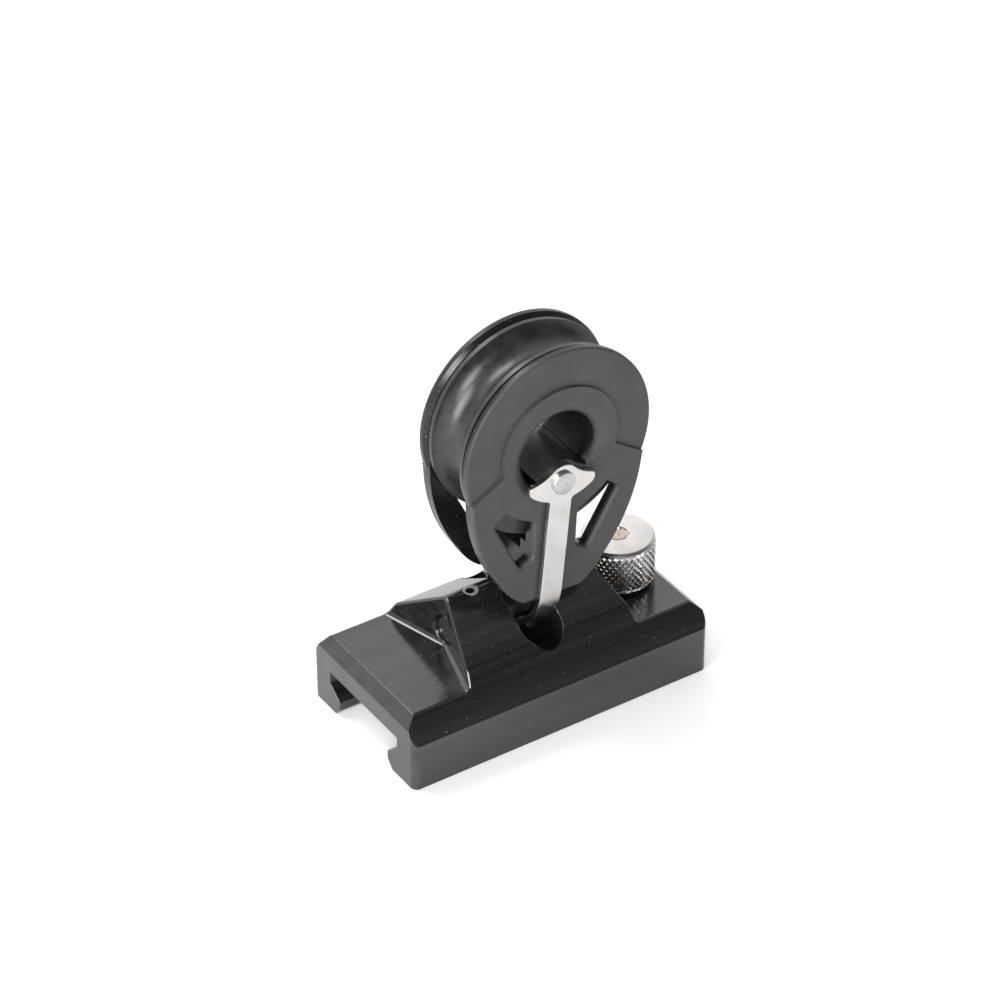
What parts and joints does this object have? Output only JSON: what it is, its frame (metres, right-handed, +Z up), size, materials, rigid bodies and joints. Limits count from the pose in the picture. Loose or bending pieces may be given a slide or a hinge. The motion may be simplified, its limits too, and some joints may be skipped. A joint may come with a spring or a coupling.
{
  "type": "pin stop car",
  "caption": "Sliding car for a sailing track with a spring-loaded stop pin and an upright ball-bearing block held in a bent steel strap.",
  "frame": {"origin": "under the middle of the car body, on the plane of its two leg undersides", "axes": "+X along the track towards the stop pin, +Y across the track, +Z up towards the block"},
  "size_m": [0.066, 0.035, 0.0768],
  "materials": {
    "black_anodised": "satin black anodised",
    "steel": "turned",
    "plunger_steel": "turned, warm tint",
    "spring_steel": "drawn wire",
    "polished_steel": "polished",
    "saddle_moulding": "satin",
    "black_moulding": "fine matt",
    "gloss_black": "smooth",
    "ball_plastic": "smooth"
  },
  "bodies": {
    "main": {"car_body": "black_anodised", "strap_pin": "steel", "grub_screw": "steel", "plunger_bush": "steel", "plunger_spring": "spring_steel"},
    "plunger": {"plunger_pin": "plunger_steel", "plunger_knob": "steel"},
    "strap": {"hanger_strap": "polished_steel", "strap_rivet": "polished_steel", "bore_saddle": "saddle_moulding"},
    "block": {"near_cheek": "black_moulding", "far_cheek": "black_moulding"},
    "wheel": {"sheave": "gloss_black"},
    "balls": {"bearing_balls": "ball_plastic"}
  },
  "joints": [
    {"name": "plunger_lift", "type": "slide", "parent": "main", "child": "plunger", "axis": [0, 0, 1], "range_m": [0, 0.0054], "stiffness_N_per_m": 600, "springref_m": -0.005, "deforming": ["plunger_spring"]},
    {"name": "strap_swing", "type": "hinge", "parent": "main", "child": "strap", "pos_m": [0, 0, 0.0185], "axis": [1, 0, 0], "range_deg": [-16, 16]},
    {"name": "block_rock", "type": "hinge", "parent": "strap", "child": "block", "pos_m": [0.00493, 0, 0.05563], "axis": [0, 1, 0], "range_deg": [-7, 20]},
    {"name": "sheave_spin", "type": "hinge", "parent": "block", "child": "wheel", "pos_m": [0.00499, 0, 0.05682], "axis": [0, 1, 0], "continuous": true},
    {"name": "bearing_roll", "type": "hinge", "parent": "block", "child": "balls", "pos_m": [0.00499, 0, 0.05682], "axis": [0, 1, 0], "continuous": true}
  ],
  "couplings": [
    {"joint": "bearing_roll", "follows": "sheave_spin", "ratio": 0.5667}
  ]
}
